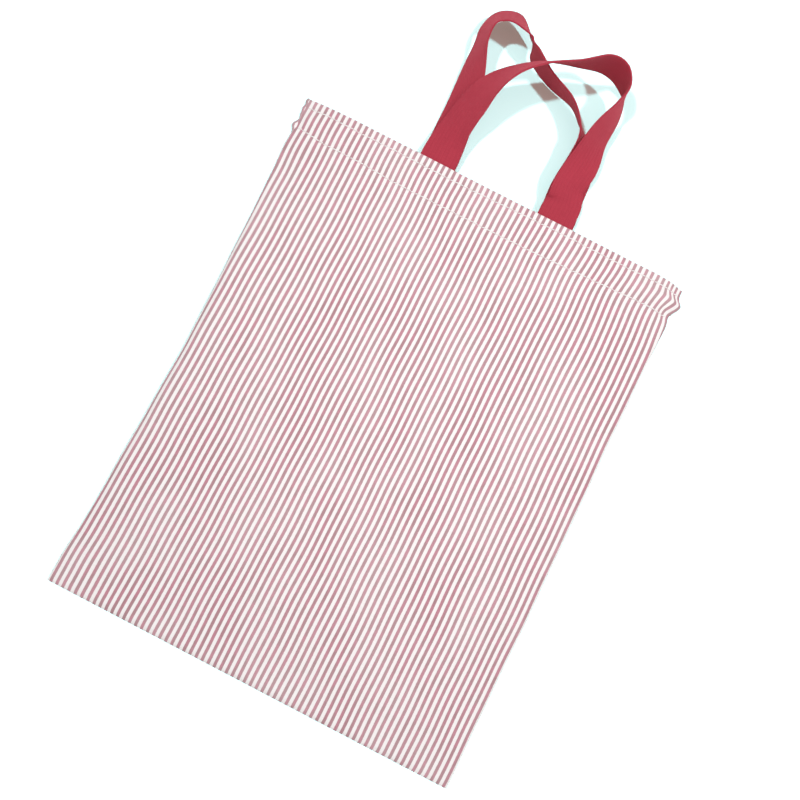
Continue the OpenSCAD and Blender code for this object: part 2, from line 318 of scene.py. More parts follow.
# The small swells of the front, in millimetres.
FULL = 0.35  # all over
SIDE_FADE = 9.0  # how far in from the sides the swells are whole
PUFF = 1.0  # of the hem between its rows
PUFF_WAVES = [(0.35, 13, 1), (0.3, 5.3, 0)]  # as wave takes them
RIGHT_PUFF = (1.6, 105, 40)  # what the right end of the hem has more, as step takes it
GROOVE, GROOVE_HALF = 0.3, 1.2  # depth and half width along each row
PUCKER = 0.14
PUCKER_UPPER, PUCKER_LOWER = 3.0, 4.0  # how far each row's puckers reach
DIP = 0.9  # under the lower row
DIP_IN, DIP_OUT = (0, 18), (30, 60)  # where it sets in and goes out: from, over
SWELL = 0.35  # long waves of the panel
SWELL_WAVES = [(31, 90, 0), (-120, 55, 0.6)]  # as ripple takes them
CREASES = [(0.3, 60, 0.35, 6), (-0.25, -75, -0.2, 7)]  # height, Y at the middle, slope and half width
BODY_IN, BODY_OUT = 60.0, 40.0  # the panel's swells fade in from the bottom, and out to the lower row

# The lift of the seam line at the left: height, Y and half length, then where it sets in across.
SEAM_LIFT = (1.2, 20, 130)
SEAM_LIFT_FROM = (-100, -60)

# The corner of the back that peeks out at the hem's left end: a bulge at the lower row's end and a frayed
# strip above it. Then where it sets in across, sideways and upwards.
PEEK_BULGE = (2.5, 187, 3.4)  # size, Y and half width
PEEK_STRIP = (1.2, 194, 4)  # size, from, over
PEEK_FRAY = (0.4, 1.1, 0)  # as wave takes it
PEEK_FROM = (-150, -17.5)
PEEK_RISE = (0.5, -155, -12)


def wander(x, y):
    """Sideways drift of the cloth, in plan: it is drawn in towards the middle where the bag is fuller.

    The sum of the shift, the pull times a sine across the bag, the pushes and the ripples.
    """
    drift = through(SHIFT, y) - through(PULL, y) * np.sin(0.5 * np.pi * (x - PULL_MIDDLE) / PULL_REACH)
    for push, across, along in PUSHES:
        for shape, place, width in across:
            push = push * shape((x - place) / width)
        for shape, place, width in along:
            push = push * shape((y - place) / width)
        drift = drift + push
    for size, *lengths in RIPPLES:
        drift = drift + size * ripple(x, y, *lengths)
    return drift


def seam_height(s, y):
    """Height of the seam line where the two panels meet: it lifts in a long hump at the left."""
    size, middle, half = SEAM_LIFT
    return SEAM_HEIGHT + step(s, size * hump((y - middle) / half), *SEAM_LIFT_FROM)


def row_depth(row, s):
    """Depth of a row of hem stitches under the fold: its depth at the left plus the steps on the way."""
    depth = row["depth"]
    for one in row["steps"]:
        depth = depth + step(s, *one)
    return depth


def front_line(q):
    """How far past the bottom edge a point of the front lies, as a share of the way to the hem's fold."""
    return curl(q, BOTTOM_HEIGHT)[0] / curl(np.array(PANEL), BOTTOM_HEIGHT)[0]


def front_edge(side, q):
    """Where the front cloth ends, across itself from its middle line. Below the hem it rolls under."""
    y = BOTTOM_Y + front_line(q) * PANEL
    return np.where(side < 0, through(LEFT_EDGE, y), through(RIGHT_EDGE, y))


def front_place(s, q):
    """Middle of the front panel's ply, for s across the cloth and q along it from the bottom seam.

    Both sides and the bottom curl down to the seam. Between the sides the height is a crown that falls
    off with the fourth power of the distance from the middle line.
    """
    along = front_line(q)
    y = BOTTOM_Y + along * PANEL
    side = np.where(s < 0, through(LEFT_HEIGHT, y), through(RIGHT_HEIGHT, y))
    edge = front_edge(s, q)
    reach, drop = curl(np.maximum(edge - np.abs(s), 0.0), side)
    whole = curl(edge, side)[0]
    x = np.sign(s) * (whole - reach) + ACROSS_SHIFT
    x = x + wander(x, y)
    bottom = BOTTOM_LINE[0] + BOTTOM_LINE[1] * x
    y = bottom + along * (through(TOP, x) - bottom)
    middle = through(MIDDLE_HEIGHT, y)
    rise = side - drop + (middle - side) * (1 - np.minimum(np.abs(s) / edge, 1.0) ** 4)
    low = curl(q, BOTTOM_HEIGHT)[1] / BOTTOM_HEIGHT
    z = seam_height(s, y) + CLOTH / 2 + rise * (1 - low)
    return np.stack([x, y, z + relief(s, q, x, y)], -1)


def relief(s, q, x, y):
    """The small swells of the cloth, as heights over the plain crown.

    The hem puffs out between its rows as a squared sine, is drawn down in a groove along each of them and
    puckers from stitch to stitch. Under the lower row the panel dips, and then goes over into two crossed
    waves with two faint creases. All of it fades out at the sides.
    """
    depth = PANEL - q
    high_row, low_row = row_depth(UPPER_ROW, s), row_depth(LOWER_ROW, s)
    between = np.clip((depth - high_row) / (low_row - high_row), 0.0, 1.0)
    below = depth - low_row
    inside = ease((front_edge(s, q) - np.abs(s)) / SIDE_FADE)
    puff = PUFF + sum(wave(x, *one) for one in PUFF_WAVES) + step(x, *RIGHT_PUFF)
    puff = puff * np.sin(np.pi * between) ** 2
    groove = GROOVE * (hump((depth - high_row) / GROOVE_HALF) + hump(below / GROOVE_HALF))
    pucker = hump(below / PUCKER_LOWER) + hump((depth - high_row) / PUCKER_UPPER)
    pucker = PUCKER * np.sin(np.pi * s / HEM_PITCH) * pucker
    dip = step(below, DIP, *DIP_IN) * (1 - step(below, 1, *DIP_OUT))
    body = SWELL * ripple(x, y, *SWELL_WAVES[0]) * ripple(x, y, *SWELL_WAVES[1])
    for height, at, slope, half in CREASES:
        body = body + height * hump((y - at - slope * x) / half)
    body = body * ease(q / BODY_IN) * ease(below / BODY_OUT)
    return inside * (puff - groove + pucker - dip + body + FULL)


def back_place(s, q):
    """Middle of the back panel's ply: it lies flat on the surface and lifts a little to meet the front.

    It spans between the front's two edges in even shares. At the left end of the hem a corner peeks out.
    """
    left = front_place(-front_edge(-1.0, q), q)
    right = front_place(front_edge(1.0, q), q)
    share = (s / HALF_ACROSS + 1) / 2
    x = left[..., 0] + (right[..., 0] - left[..., 0]) * share
    y = front_place(s, q)[..., 1] + BACK_AHEAD
    size, middle, half = PEEK_BULGE
    strip, start, over = PEEK_STRIP
    peek = size * hump((y - middle) / half) + step(y, strip + wave(y, *PEEK_FRAY), start, over)
    x = x - step(s, peek, *PEEK_FROM)
    from_side = ease((np.abs(s) - HALF_ACROSS + EDGE_FADE) / EDGE_FADE) ** 2
    from_end = ease((END_FADE - q) / END_FADE)
    lift = (seam_height(s, y) - CLOTH) * np.maximum(from_side, from_end)
    z = CLOTH / 2 + CLEAR + lift + peek * step(s, *PEEK_RISE)
    return np.stack([x, y, z], -1)


def facing(place, s, q):
    """Unit normal of a placed cloth, from the cross product of its two directions."""
    gap = 0.5
    q0, q1 = np.maximum(q - gap, 0.0), np.minimum(q + gap, PANEL)
    return unit(np.cross(place(s + gap, q) - place(s - gap, q), place(s, q1) - place(s, q0)))


def hem_rows(place, across, edges, rows, turned):
    """A panel with its double hem: up the panel, over the fold, down inside, and up between the plies.

    across runs from -1 to 1 between the edges, and rows are the panel's own rows. turned is -1 where the
    hem lies below the panel and 1 where it lies above. Returns the middle surface and its coordinates on
    the cloth.
    """
    fold = np.linspace(0, np.pi, FOLD_ROWS + 2)[1:-1]
    down = np.linspace(0, HEM, DOWN_ROWS)
    back = np.linspace(0, np.pi, ROUND_ROWS + 2)[1:-1]
    up = np.linspace(0, HEM_TUCK, UP_ROWS)
    inner = PANEL + FOLD_CLOTH + HEM
    runs = [  # each: q, plies under the panel, plies past its own place, and length of cloth so far
        (rows, 0.0, 0.0, rows),
        (PANEL, 1 - np.cos(fold), np.sin(fold), PANEL + PLY * fold),
        (PANEL - down, 2.0, 0.0, PANEL + FOLD_CLOTH + down),
        (PANEL - HEM, 1.5 + 0.5 * np.cos(back), -0.5 * np.sin(back), inner + 0.5 * back),
        (PANEL - HEM + up, 1.0, 0.0, inner + ROUND_CLOTH + up),
    ]
    full_runs = [np.broadcast_arrays(*run) for run in runs]
    q, deep, beyond, along = (np.concatenate(part) for part in zip(*full_runs))
    grid_s, grid_q = np.meshgrid(across, q, indexing="ij")
    grid_s = grid_s * edges(grid_s, grid_q)
    near = np.maximum(grid_q, 1.0)
    forward = unit(place(grid_s, near) - place(grid_s, near - 0.5))
    point = place(grid_s, grid_q) + facing(place, grid_s, grid_q) * (turned * PLY * deep)[None, :, None]
    point = point + forward * (PLY * beyond)[None, :, None]
    return point, np.stack([grid_s, np.broadcast_to(along, grid_s.shape)], -1)


# ---- Meshes ----


def mesh_object(name, points, faces, material, uv=None):
    """A smooth mesh from an array of points in millimetres and an array of four-cornered faces."""
    mesh = bpy.data.meshes.new(name)
    faces = np.asarray(faces, np.int32).reshape(-1, 4)
    mesh.vertices.add(len(points))
    mesh.vertices.foreach_set("co", (np.asarray(points, np.float32) * MM).ravel())
    mesh.loops.add(faces.size)
    mesh.loops.foreach_set("vertex_index", faces.ravel())
    mesh.polygons.add(len(faces))
    mesh.polygons.foreach_set("loop_start", np.arange(0, faces.size, 4, dtype=np.int32))
    mesh.polygons.foreach_set("loop_total", np.full(len(faces), 4, np.int32))
    mesh.polygons.foreach_set("use_smooth", np.full(len(faces), True))
    if uv is not None:
        layer = mesh.uv_layers.new(name="cloth")
        layer.data.foreach_set("uv", (np.asarray(uv, np.float32)[faces.ravel()] * MM).ravel())
    mesh.update()
    mesh.validate()
    mesh.materials.append(material)
    piece = bpy.data.objects.new(name, mesh)
    bpy.context.scene.collection.objects.link(piece)
    return piece


def grid_faces(rows, columns, start=0, round_columns=False, flip=False):
    """Faces of a grid of points stored row by row. Its columns may close into a ring."""
    i, j = np.arange(rows - 1), np.arange(columns if round_columns else columns - 1)
    i, j = np.meshgrid(i, j, indexing="ij")
    after = (j + 1) % columns
    corners = [i * columns + j, (i + 1) * columns + j, (i + 1) * columns + after, i * columns + after]
    faces = np.stack(corners, -1).reshape(-1, 4) + start
    return faces[:, ::-1] if flip else faces


def shell(name, middle, uv, thickness, material):
    """A closed sheet: the middle surface moved half the thickness each way along its normals, with a rim.

    The rim follows the grid's border once round, so the two sides and the rim close without a gap.
    """
    rows, columns = middle.shape[:2]
    normal = unit(np.cross(np.gradient(middle, axis=0), np.gradient(middle, axis=1)))
    sides = [(middle + away * normal * thickness / 2).reshape(-1, 3) for away in (1, -1)]
    count = rows * columns
    index = np.arange(count).reshape(rows, columns)
    border = np.concatenate([index[:-1, 0], index[-1, :-1], index[:0:-1, -1], index[0, :0:-1]])
    after = np.roll(border, -1)
    rim = np.stack([border, border + count, after + count, after], -1)
    top, under = grid_faces(rows, columns), grid_faces(rows, columns, start=count, flip=True)
    flat = uv.reshape(-1, 2)
    faces = np.concatenate([top, under, rim])
    return mesh_object(name, np.concatenate(sides), faces, material, np.concatenate([flat, flat]))


def closed_tube(count, sides):
    """Faces of a tube with both ends closed, for rings that turn right-handed round its direction.

    The number of sides is even, so each end is covered by four-cornered faces from its first point.
    """
    k = np.arange(1, sides - 2, 2)
    cap = np.stack([np.zeros_like(k), k, k + 1, k + 2], -1)
    wall = grid_faces(count, sides, round_columns=True, flip=True)
    return np.concatenate([wall, cap[:, ::-1], cap + (count - 1) * sides])


def threads(name, middle, beside, thick, material):
    """Separate round threads. middle is an array of threads by points by xyz.

    Each ring is the middle plus half the thickness times the cosine of the turn beside the thread and its
    sine over it, where beside is any direction that isn't along the thread.
    """
    ahead = unit(np.gradient(middle, axis=1))
    across = unit(beside(ahead))
    over = np.cross(ahead, across)
    turn = (np.arange(THREAD_SIDES) * 2 * np.pi / THREAD_SIDES)[:, None]
    ring = across[:, :, None] * np.cos(turn) + over[:, :, None] * np.sin(turn)
    rings = middle[:, :, None] + ring * thick / 2
    lines, count = middle.shape[:2]
    start = np.arange(lines) * count * THREAD_SIDES
    faces = closed_tube(count, THREAD_SIDES)[None] + start[:, None, None]
    return mesh_object(name, rings.reshape(-1, 3), faces, material)


def stitches(name, starts, ends, place, thick, material, lift=STITCH_LIFT):
    """A row of stitches on a placed cloth: each comes up, lies over it in a low arch and goes down.

    starts and ends are arrays of cloth coordinates (s, q), one pair a stitch. The arches lie on the upper
    side, and each falls off from its middle with the fourth power of the way to its ends.
    """
    t = np.linspace(0, 1, STITCH_RINGS)
    line = starts[:, None] + (ends - starts)[:, None] * t[None, :, None]
    s, q = line[..., 0], line[..., 1]
    normal = facing(place, s, q)
    normal = normal * np.sign(normal[..., 2].mean())
    fall = (thick + STITCH_SINK) * (2 * np.abs(t - 0.5)) ** 4
    height = CLOTH / 2 + lift + STITCH_ARCH * thick - fall
    middle = place(s, q) + normal * height[None, :, None]
    return threads(name, middle, lambda ahead: np.cross(normal, ahead), thick, material)


# ---- The handles ----


def route_line(route, exit_height):
    """A handle's middle line and lean: Catmull-Rom through the route's points, the ends mirrored out."""
    points = np.array(route, float)
    points = np.concatenate([[2 * points[0] - points[1]], points, [2 * points[-1] - points[-2]]])
    t = np.arange(WEB_STEPS)[None, :, None] / WEB_STEPS
    a, b, c, d = (points[k : len(points) - 3 + k, None] for k in range(4))
    line = (2 * b + (c - a) * t + (2 * a - 5 * b + 4 * c - d) * t**2 + (3 * b - a - 3 * c + d) * t**3) / 2
    line = np.concatenate([line.reshape(-1, 4), points[-2:-1]])
    return line + np.array([0, HINGE_Y, exit_height, 0])


def webbing_section():
    """Outline of the webbing, across and up, once round: rounded edges, and shallow ribs as a cosine."""
    flat = WEB_WIDE / 2 - WEB_THICK / 2
    across = np.linspace(-flat, flat, WEB_COLUMNS)
    rib = WEB_THICK / 2 + RIB_HIGH * np.cos(2 * np.pi * across / RIB_PITCH) - RIB_SUNK
    round_end = np.linspace(90, -90, WEB_ROUND + 2)[1:-1] * np.pi / 180
    end_x = flat + WEB_THICK / 2 * np.cos(round_end)
    end_y = WEB_THICK / 2 * np.sin(round_end)
    x = np.concatenate([across, end_x, across[::-1], -end_x])
    y = np.concatenate([rib, end_y, -rib, -end_y])
    return x, y


def handle(name, route, exit_height, material):
    """One handle as a single strip: a sewn-in end, the loop and the other sewn-in end.

    The section is carried along the line, level across at a lean of 0 and standing on its edge at 90.
    """
    loop = route_line(route, exit_height)
    tuck = np.linspace(TUCK_START, HINGE_Y, TUCK_RINGS + 1)[:-1]
    first = np.tile(loop[0], (len(tuck), 1))
    last = np.tile(loop[-1], (len(tuck), 1))
    first[:, 1], last[:, 1] = tuck, tuck[::-1]
    line = np.concatenate([first, loop, last])
    point, lean = line[:, :3], np.radians(line[:, 3])
    ahead = unit(np.gradient(point, axis=0))
    level = unit(np.cross(ahead, [0.0, 0.0, 1.0]))
    upright = np.cross(level, ahead)
    wide = np.cos(lean)[:, None] * level + np.sin(lean)[:, None] * upright
    thick = np.cross(wide, ahead)
    x, y = webbing_section()
    rings = point[:, None] + wide[:, None] * x[None, :, None] + thick[:, None] * y[None, :, None]
    along = np.concatenate([[0], np.cumsum(np.linalg.norm(np.diff(point, axis=0), axis=1))])
    uv = np.stack(np.broadcast_arrays(x[None, :], along[:, None]), -1)
    faces = closed_tube(len(point), len(x))
    return mesh_object(name, rings.reshape(-1, 3), faces, material, uv.reshape(-1, 2))


# ---- The seams inside ----


def side_allowance_place(side):
    """Places a side seam's allowance: d inwards from the seam and q along it; side is -1 or 1.

    It lies on the back panel, follows it up to the seam, and its free edge waves a little.
    """

    def place(d, q):
        """A point of the allowance's middle surface."""
        edge = side * front_edge(side, q)
        seam = front_place(edge, q)
        x = seam[..., 0] - side * (SEAM_INSET + d)
        share = 1 - (SEAM_INSET + d) / EDGE_FADE
        lift = (seam_height(edge, q + BOTTOM_Y) - CLOTH) * ease(share) ** 2
        free = SIDE_FREE * (1 + np.sin(q / SIDE_FREE_LENGTH + 2 * side)) * (d / ALLOWANCE)
        return np.stack([x, seam[..., 1], 2 * CLOTH + ALLOWANCE_GAP + lift + free], -1)

    return place


def bottom_allowance_place(d, s):
    """Places the bottom seam's allowance in the same way: d inwards from the seam and s along it."""
    seam = front_place(s, np.zeros_like(s))
    y = seam[..., 1] + SEAM_INSET + d
    lift = (SEAM_HEIGHT - CLOTH) * ease((END_FADE - SEAM_INSET - d) / END_FADE)
    free = BOTTOM_FREE * (1 + np.sin(s / BOTTOM_FREE_LENGTH)) * (d / ALLOWANCE)
    return np.stack([seam[..., 0], y, 2 * CLOTH + ALLOWANCE_GAP + lift + free], -1)


def allowance_width(along, low, high):
    """An allowance's width along itself: cut slantwise at its start, the bottom one at its end too."""
    wide = ALLOWANCE * np.clip((along - low) / ALLOWANCE, 0.1, 1)
    if low < 0:
        wide = wide * np.clip((high - along) / ALLOWANCE, 0.1, 1)
    return wide


def allowance(name, place, low, high, flip, material):
    """A seam allowance: two plies as one strip. flip turns over a strip whose grid would face down."""
    rows, columns = ALLOWANCE_GRID
    along = np.linspace(low, high, columns)
    d = np.linspace(0, 1, rows)[:, None] * allowance_width(along, low, high)[None, :]
    along = np.broadcast_to(along, d.shape)
    middle = place(d, along)
    uv = np.stack([along, d] if flip else [d, along], -1)
    if flip:
        middle, uv = middle[::-1], uv[::-1]
    return shell(name, middle, uv, 2 * CLOTH, material)


def overlock(name, place, low, high, material):
    """The thread that binds an allowance's raw edge: one long spiral round it, flattened underneath."""
    loops = (high - low) / OVERLOCK_PITCH
    turn = np.linspace(0, 2 * np.pi * loops, int(loops * OVERLOCK_RINGS))
    along = low + (high - low) * turn / turn[-1]
    wide = allowance_width(along, low, high)
    middle = place(wide - OVERLOCK_REACH + OVERLOCK_REACH * np.cos(turn) + OVERLOCK_PROUD, along)
    away = CLOTH + OVERLOCK_GAP
    middle[:, 2] = np.maximum(middle[:, 2] + away * np.sin(turn), away)
    slanting = [0.3, 0.4, 1.0]
    return threads(name, middle[None], lambda ahead: np.cross(ahead, slanting), OVERLOCK_THREAD, material)


# ---- Finishes ----


def colour(r, g, b):
    """A colour given as it looks on a screen, 0 to 255, made linear."""
    c = np.array([r, g, b]) / 255
    c = np.where(c <= 0.04045, c / 12.92, ((c + 0.055) / 1.055) ** 2.4)
    return (*c.tolist(), 1.0)


class Nodes:
    """Short hand for building one node tree: each method adds nodes and returns the last one's output."""

    def __init__(self, tree):
        """The tree that the nodes go into."""
        self.tree = tree

    def add(self, kind, inputs=(), output=0, **settings):
        """A node with its settings and inputs: values or outputs. Returns one output or all."""
        node = self.tree.nodes.new(kind)
        for key, value in settings.items():
            setattr(node, key, value)
        for key, value in dict(inputs).items():
            if isinstance(value, bpy.types.NodeSocket):
                self.tree.links.new(value, node.inputs[key])
            else:
                node.inputs[key].default_value = value
        return node.outputs if output is None else node.outputs[output]

    def math(self, operation, a, b=0.0, c=0.0):
        """One operation on values."""
        return self.add("ShaderNodeMath", {0: a, 1: b, 2: c}, operation=operation)

    def times(self, a, b):
        """Two values multiplied."""
        return self.math("MULTIPLY", a, b)

    def plus(self, a, b):
        """Two values added."""
        return self.math("ADD", a, b)

    def mix(self, factor, a, b, blend="MIX"):
        """Two colours mixed."""
        ins = {0: factor, 6: a, 7: b}
        return self.add("ShaderNodeMix", ins, 2, data_type="RGBA", blend_type=blend)

    def dimmed(self, tint, value):
        """A colour times a value."""
        grey = self.add("ShaderNodeCombineXYZ", {0: value, 1: value, 2: value})
        return self.mix(1.0, tint, grey, "MULTIPLY")

    def ramp(self, value, low, high, to_low=0.0, to_high=1.0):
        """A smooth step from to_low to to_high as the value goes from low to high."""
        ins = {0: value, 1: low, 2: high, 3: to_low, 4: to_high}
        return self.add("ShaderNodeMapRange", ins, interpolation_type="SMOOTHSTEP")

    def noise(self, vector, per_metre, detail=2.0):
        """Soft noise that runs its own number of times per metre in each direction."""
        ins = {"Vector": self.scaled(vector, per_metre), "Scale": 1.0, "Detail": detail, "Roughness": 0.5}
        return self.add("ShaderNodeTexNoise", ins)

    def scaled(self, vector, by):
        """A vector times another, part by part."""
        return self.add("ShaderNodeVectorMath", {0: vector, 1: by}, operation="MULTIPLY")

    def sine(self, value, pitch):
        """A sine that repeats every pitch millimetres of a value in metres."""
        return self.math("SINE", self.times(value, 2 * np.pi / (pitch * MM)))

    def off_middle(self, value):
        """How far a value is from halfway between two whole numbers: 0 there and 0.5 at the numbers."""
        return self.math("ABSOLUTE", self.math("SUBTRACT", self.math("FRACT", value), 0.5))

    def parts(self, vector):
        """A vector's three parts."""
        return self.add("ShaderNodeSeparateXYZ", {0: vector}, None)

    def group(self, tree, **inputs):
        """A shared group of nodes placed in this tree, with all its outputs."""
        return self.add("ShaderNodeGroup", inputs, None, node_tree=tree)


def new_group(name, inputs, outputs):
    """A shader node group with named sockets. Returns the tree, its input sockets and its output node."""
    tree = bpy.data.node_groups.new(name, "ShaderNodeTree")
    tree.interface.new_socket("Vector", in_out="INPUT", socket_type="NodeSocketVector")
    for label, value in inputs:
        socket = tree.interface.new_socket(label, in_out="INPUT", socket_type="NodeSocketFloat")
        socket.default_value = value
    for label in outputs:
        tree.interface.new_socket(label, in_out="OUTPUT", socket_type="NodeSocketFloat")
    inside = tree.nodes.new("NodeGroupInput").outputs
    return tree, inside, tree.nodes.new("NodeGroupOutput")


def woven_yarns():
    """Plain weave: warp yarns run along V and weft yarns along U, each over and under in turn.

    Height is the root of the two yarns' sines multiplied, and Over is 1 where the warp is on top.
    """
    tree, ins, out = new_group(
        "Woven yarns", [("Warp per metre", 2200.0), ("Weft per metre", 1900.0)], ["Height", "Over"]
    )
    n = Nodes(tree)
    u, v, _ = n.parts(ins["Vector"])
    u, v = n.times(u, ins["Warp per metre"]), n.times(v, ins["Weft per metre"])
    parity = n.plus(n.math("FLOOR", u), n.math("FLOOR", v))
    over = n.math("ROUND", n.times(n.math("FRACT", n.times(parity, 0.5)), 2.0))
    rounds = [n.math("ABSOLUTE", n.math("SINE", n.times(yarn, np.pi))) for yarn in (u, v)]
    back = n.math("SQRT", n.times(*rounds))
    height = n.plus(n.times(over, WARP_PROUD), back)
    tree.links.new(height, out.inputs["Height"])
    tree.links.new(over, out.inputs["Over"])
    return tree


def uneven_yarn():
    """Slubs and soft patches: Value is near 1 and changes along the yarns of a cloth."""
    tree, ins, out = new_group("Uneven yarn", [("Amount", 0.1)], ["Value", "Patches"])
    n = Nodes(tree)
    both = n.plus(n.noise(ins["Vector"], SLUBS_ALONG), n.noise(ins["Vector"], SLUBS_ACROSS))
    swing = n.times(n.math("SUBTRACT", both, 1.0), ins["Amount"])
    tree.links.new(n.plus(1.0, swing), out.inputs["Value"])
    tree.links.new(n.noise(ins["Vector"], SOFT_PATCHES, 3.0), out.inputs["Patches"])
    return tree


def cloth_finish(name, roughness, sheen):
    """A material with a Principled shader, ready for colour and bump, with its nodes and the shader."""
    material = bpy.data.materials.new(name)
    material.use_nodes = True
    shader = material.node_tree.nodes["Principled BSDF"]
    shader.inputs["Roughness"].default_value = roughness
    shader.inputs["Specular IOR Level"].default_value = CLOTH_SPECULAR
    shader.inputs["Sheen Weight"].default_value = sheen
    shader.inputs["Sheen Roughness"].default_value = SHEEN_ROUGHNESS
    return material, Nodes(material.node_tree), shader


def surface(n, shader, tint, height, strength, depth):
    """Gives a shader its colour, and a bump from a height; depth is in metres."""
    n.tree.links.new(tint, shader.inputs["Base Color"])
    bump = n.add("ShaderNodeBump", {"Strength": strength, "Distance": depth, "Height": height})
    n.tree.links.new(bump, shader.inputs["Normal"])


def striped_cotton(weave, uneven):
    """Ticking: red and white stripes of yarn along the cloth, the white weft showing through the red.

    Red fills half of each repeat, with a ragged edge and a faint tinge past it, and two dyes mottle it.
    """
    material, n, shader = cloth_finish("striped cotton", roughness=0.9, sheen=0.06)
    place = n.add("ShaderNodeUVMap", uv_map="cloth")
    yarn, patches = n.group(uneven, Vector=place, Amount=0.1)
    height, over = n.group(weave, Vector=place)
    u, v, _ = n.parts(place)
    ragged = n.times(n.math("SUBTRACT", n.noise(place, RAGGED_EDGES), 0.5), STRIPE_RAGGED)
    repeat = n.times(u, 1 / (STRIPE_PITCH * MM))
    far = n.off_middle(n.plus(repeat, 0.5 - STRIPE_SHIFT / STRIPE_PITCH))
    red = n.ramp(n.plus(far, ragged), low=0.215, high=0.255, to_low=1.0, to_high=0.0)
    twill = n.times(n.sine(n.plus(u, v), TWILL_PITCH), TWILL_FLECK)
    fleck = n.plus(twill, n.times(over, WEFT_FLECK))
    worn = n.math("SUBTRACT", n.ramp(patches, low=0.3, high=0.7, to_low=0.86), fleck)
    tinge = n.ramp(far, low=0.25, high=0.38, to_low=0.13, to_high=0.0)
    tinged = n.math("MAXIMUM", n.times(red, worn), tinge)
    dye = n.ramp(n.noise(place, MOTTLED_DYE), low=0.38, high=0.62)
    tint = n.mix(tinged, colour(*WHITE), n.mix(dye, colour(*STRIPE_ROSE), colour(*STRIPE_DUSK)))
    # painted shade: the weave's low places a little darker, times the slubs' real unevenness of tone
    slubs_and_weave_shade = n.times(yarn, n.ramp(height, low=0.0, high=0.7, to_low=0.93))
    surface(n, shader, n.dimmed(tint, slubs_and_weave_shade), height, strength=0.35, depth=0.00012)
    return material


def red_webbing(uneven):
    """Herringbone webbing: slanting yarns that turn back at each rib, with fine warp yarns along it.

    Its height is a sine across the slanting yarns plus a smaller one across the warp, flat in the ribs'
    grooves. The low places are painted darker as shade and the high ones red, under a fuzzy sheen.
    """
    material, n, shader = cloth_finish("red webbing", roughness=0.85, sheen=0.5)
    shader.inputs["Sheen Tint"].default_value = colour(*WEB_FUZZ)
    place = n.add("ShaderNodeUVMap", uv_map="cloth")
    value, patches = n.group(uneven, Vector=place, Amount=0.14)
    u, v, _ = n.parts(place)
    rib = n.off_middle(n.times(u, 1 / (RIB_PITCH * MM)))
    slant = n.plus(v, n.times(rib, WEB_SLANT * RIB_PITCH * MM))
    yarns = n.times(n.sine(slant, WEB_YARN), YARN_HIGH)
    warp = n.times(n.sine(u, WEB_WARP), WARP_HIGH)
    groove = n.ramp(rib, low=0.0, high=0.1)
    height = n.times(n.plus(yarns, warp), groove)
    height = n.plus(height, n.times(groove, GROUND_HIGH))
    # painted shade: the low places of the weave and the ribs' grooves take the darker red
    tint = n.mix(n.ramp(height, low=-0.8, high=1.0), colour(*WEB_HOLLOW_SHADE), colour(*WEB_RED))
    worn = n.times(value, n.ramp(patches, low=0.25, high=0.75, to_low=0.93, to_high=1.05))
    surface(n, shader, n.dimmed(tint, worn), height, strength=0.45, depth=0.0002)
    return material


def white_thread(uneven):
    """Sewing thread: slightly darker between its twisted plies, which cross it as a slanting sine."""
    material, n, shader = cloth_finish("white thread", roughness=0.7, sheen=0.1)
    place = n.add("ShaderNodeTexCoord", output="Object")
    value, _ = n.group(uneven, Vector=place, Amount=0.08)
    x, y, z = n.parts(place)
    slant = n.plus(x, n.times(n.plus(y, z), THREAD_SLANT))
    ply = n.sine(slant, THREAD_PLY)
    tint = n.mix(n.ramp(ply, low=-1.0, high=0.6), colour(*THREAD_SHADE), colour(*WHITE))
    surface(n, shader, n.dimmed(tint, value), ply, strength=0.3, depth=0.0001)
    return material


# ---- The studio ----


def seen_by_camera(n):
    """1 for what the camera sees straight, mirrored or through glass, and 0 for what lights the bag."""
    path = n.add("ShaderNodeLightPath", output=None)
    around = n.math("MAXIMUM", path["Is Glossy Ray"], path["Is Transmission Ray"])
    return n.math("MAXIMUM", path["Is Camera Ray"], around)


def pale_floor():
    """The surface that the bag lies on, white where the camera sees it lit, with the bag's shadow.

    Returns a collection with only the floor in it, for the lamps that light nothing else.
    """
    material = bpy.data.materials.new("pale floor")
    material.use_nodes = True
    n = Nodes(material.node_tree)
    shader = n.tree.nodes["Principled BSDF"]
    shader.inputs["Roughness"].default_value = 1.0
    shader.inputs["Specular IOR Level"].default_value = 0.0
    shader.inputs["Emission Strength"].default_value = 1.0
    seen = seen_by_camera(n)
    n.tree.links.new(n.mix(seen, FLOOR_BOUNCE, FLOOR_SEEN), shader.inputs["Base Color"])
    n.tree.links.new(n.mix(seen, (0.0, 0.0, 0.0, 1.0), FLOOR_GLOW), shader.inputs["Emission Color"])
    mesh = bpy.data.meshes.new("floor")
    signs = [(-1, -1), (1, -1), (1, 1), (-1, 1)]
    corners = [(x * FLOOR_HALF, y * FLOOR_HALF, -FLOOR_DROP) for x, y in signs]
    mesh.from_pydata(corners, [], [(0, 1, 2, 3)])
    mesh.materials.append(material)
    floor = bpy.data.objects.new("floor", mesh)
    bpy.context.scene.collection.objects.link(floor)
    only_floor = bpy.data.collections.new("only floor")
    only_floor.objects.link(floor)
    return only_floor


def sun(name, heading, strength, softness, tint=PLAIN, only=None):
    """A distant lamp whose light travels along heading; softness is its width in degrees.

    A lamp with a collection in only lights nothing else, though everything still casts its shadow there.
    """
    lamp = bpy.data.lights.new(name, "SUN")
    lamp.energy, lamp.color, lamp.angle = strength, tint, np.radians(softness)
    ob = bpy.data.objects.new(name, lamp)
    ob.matrix_world = (-Vector(heading)).to_track_quat("Z", "Y").to_matrix().to_4x4()
    bpy.context.scene.collection.objects.link(ob)
    if only is not None:
        ob.light_linking.receiver_collection = only


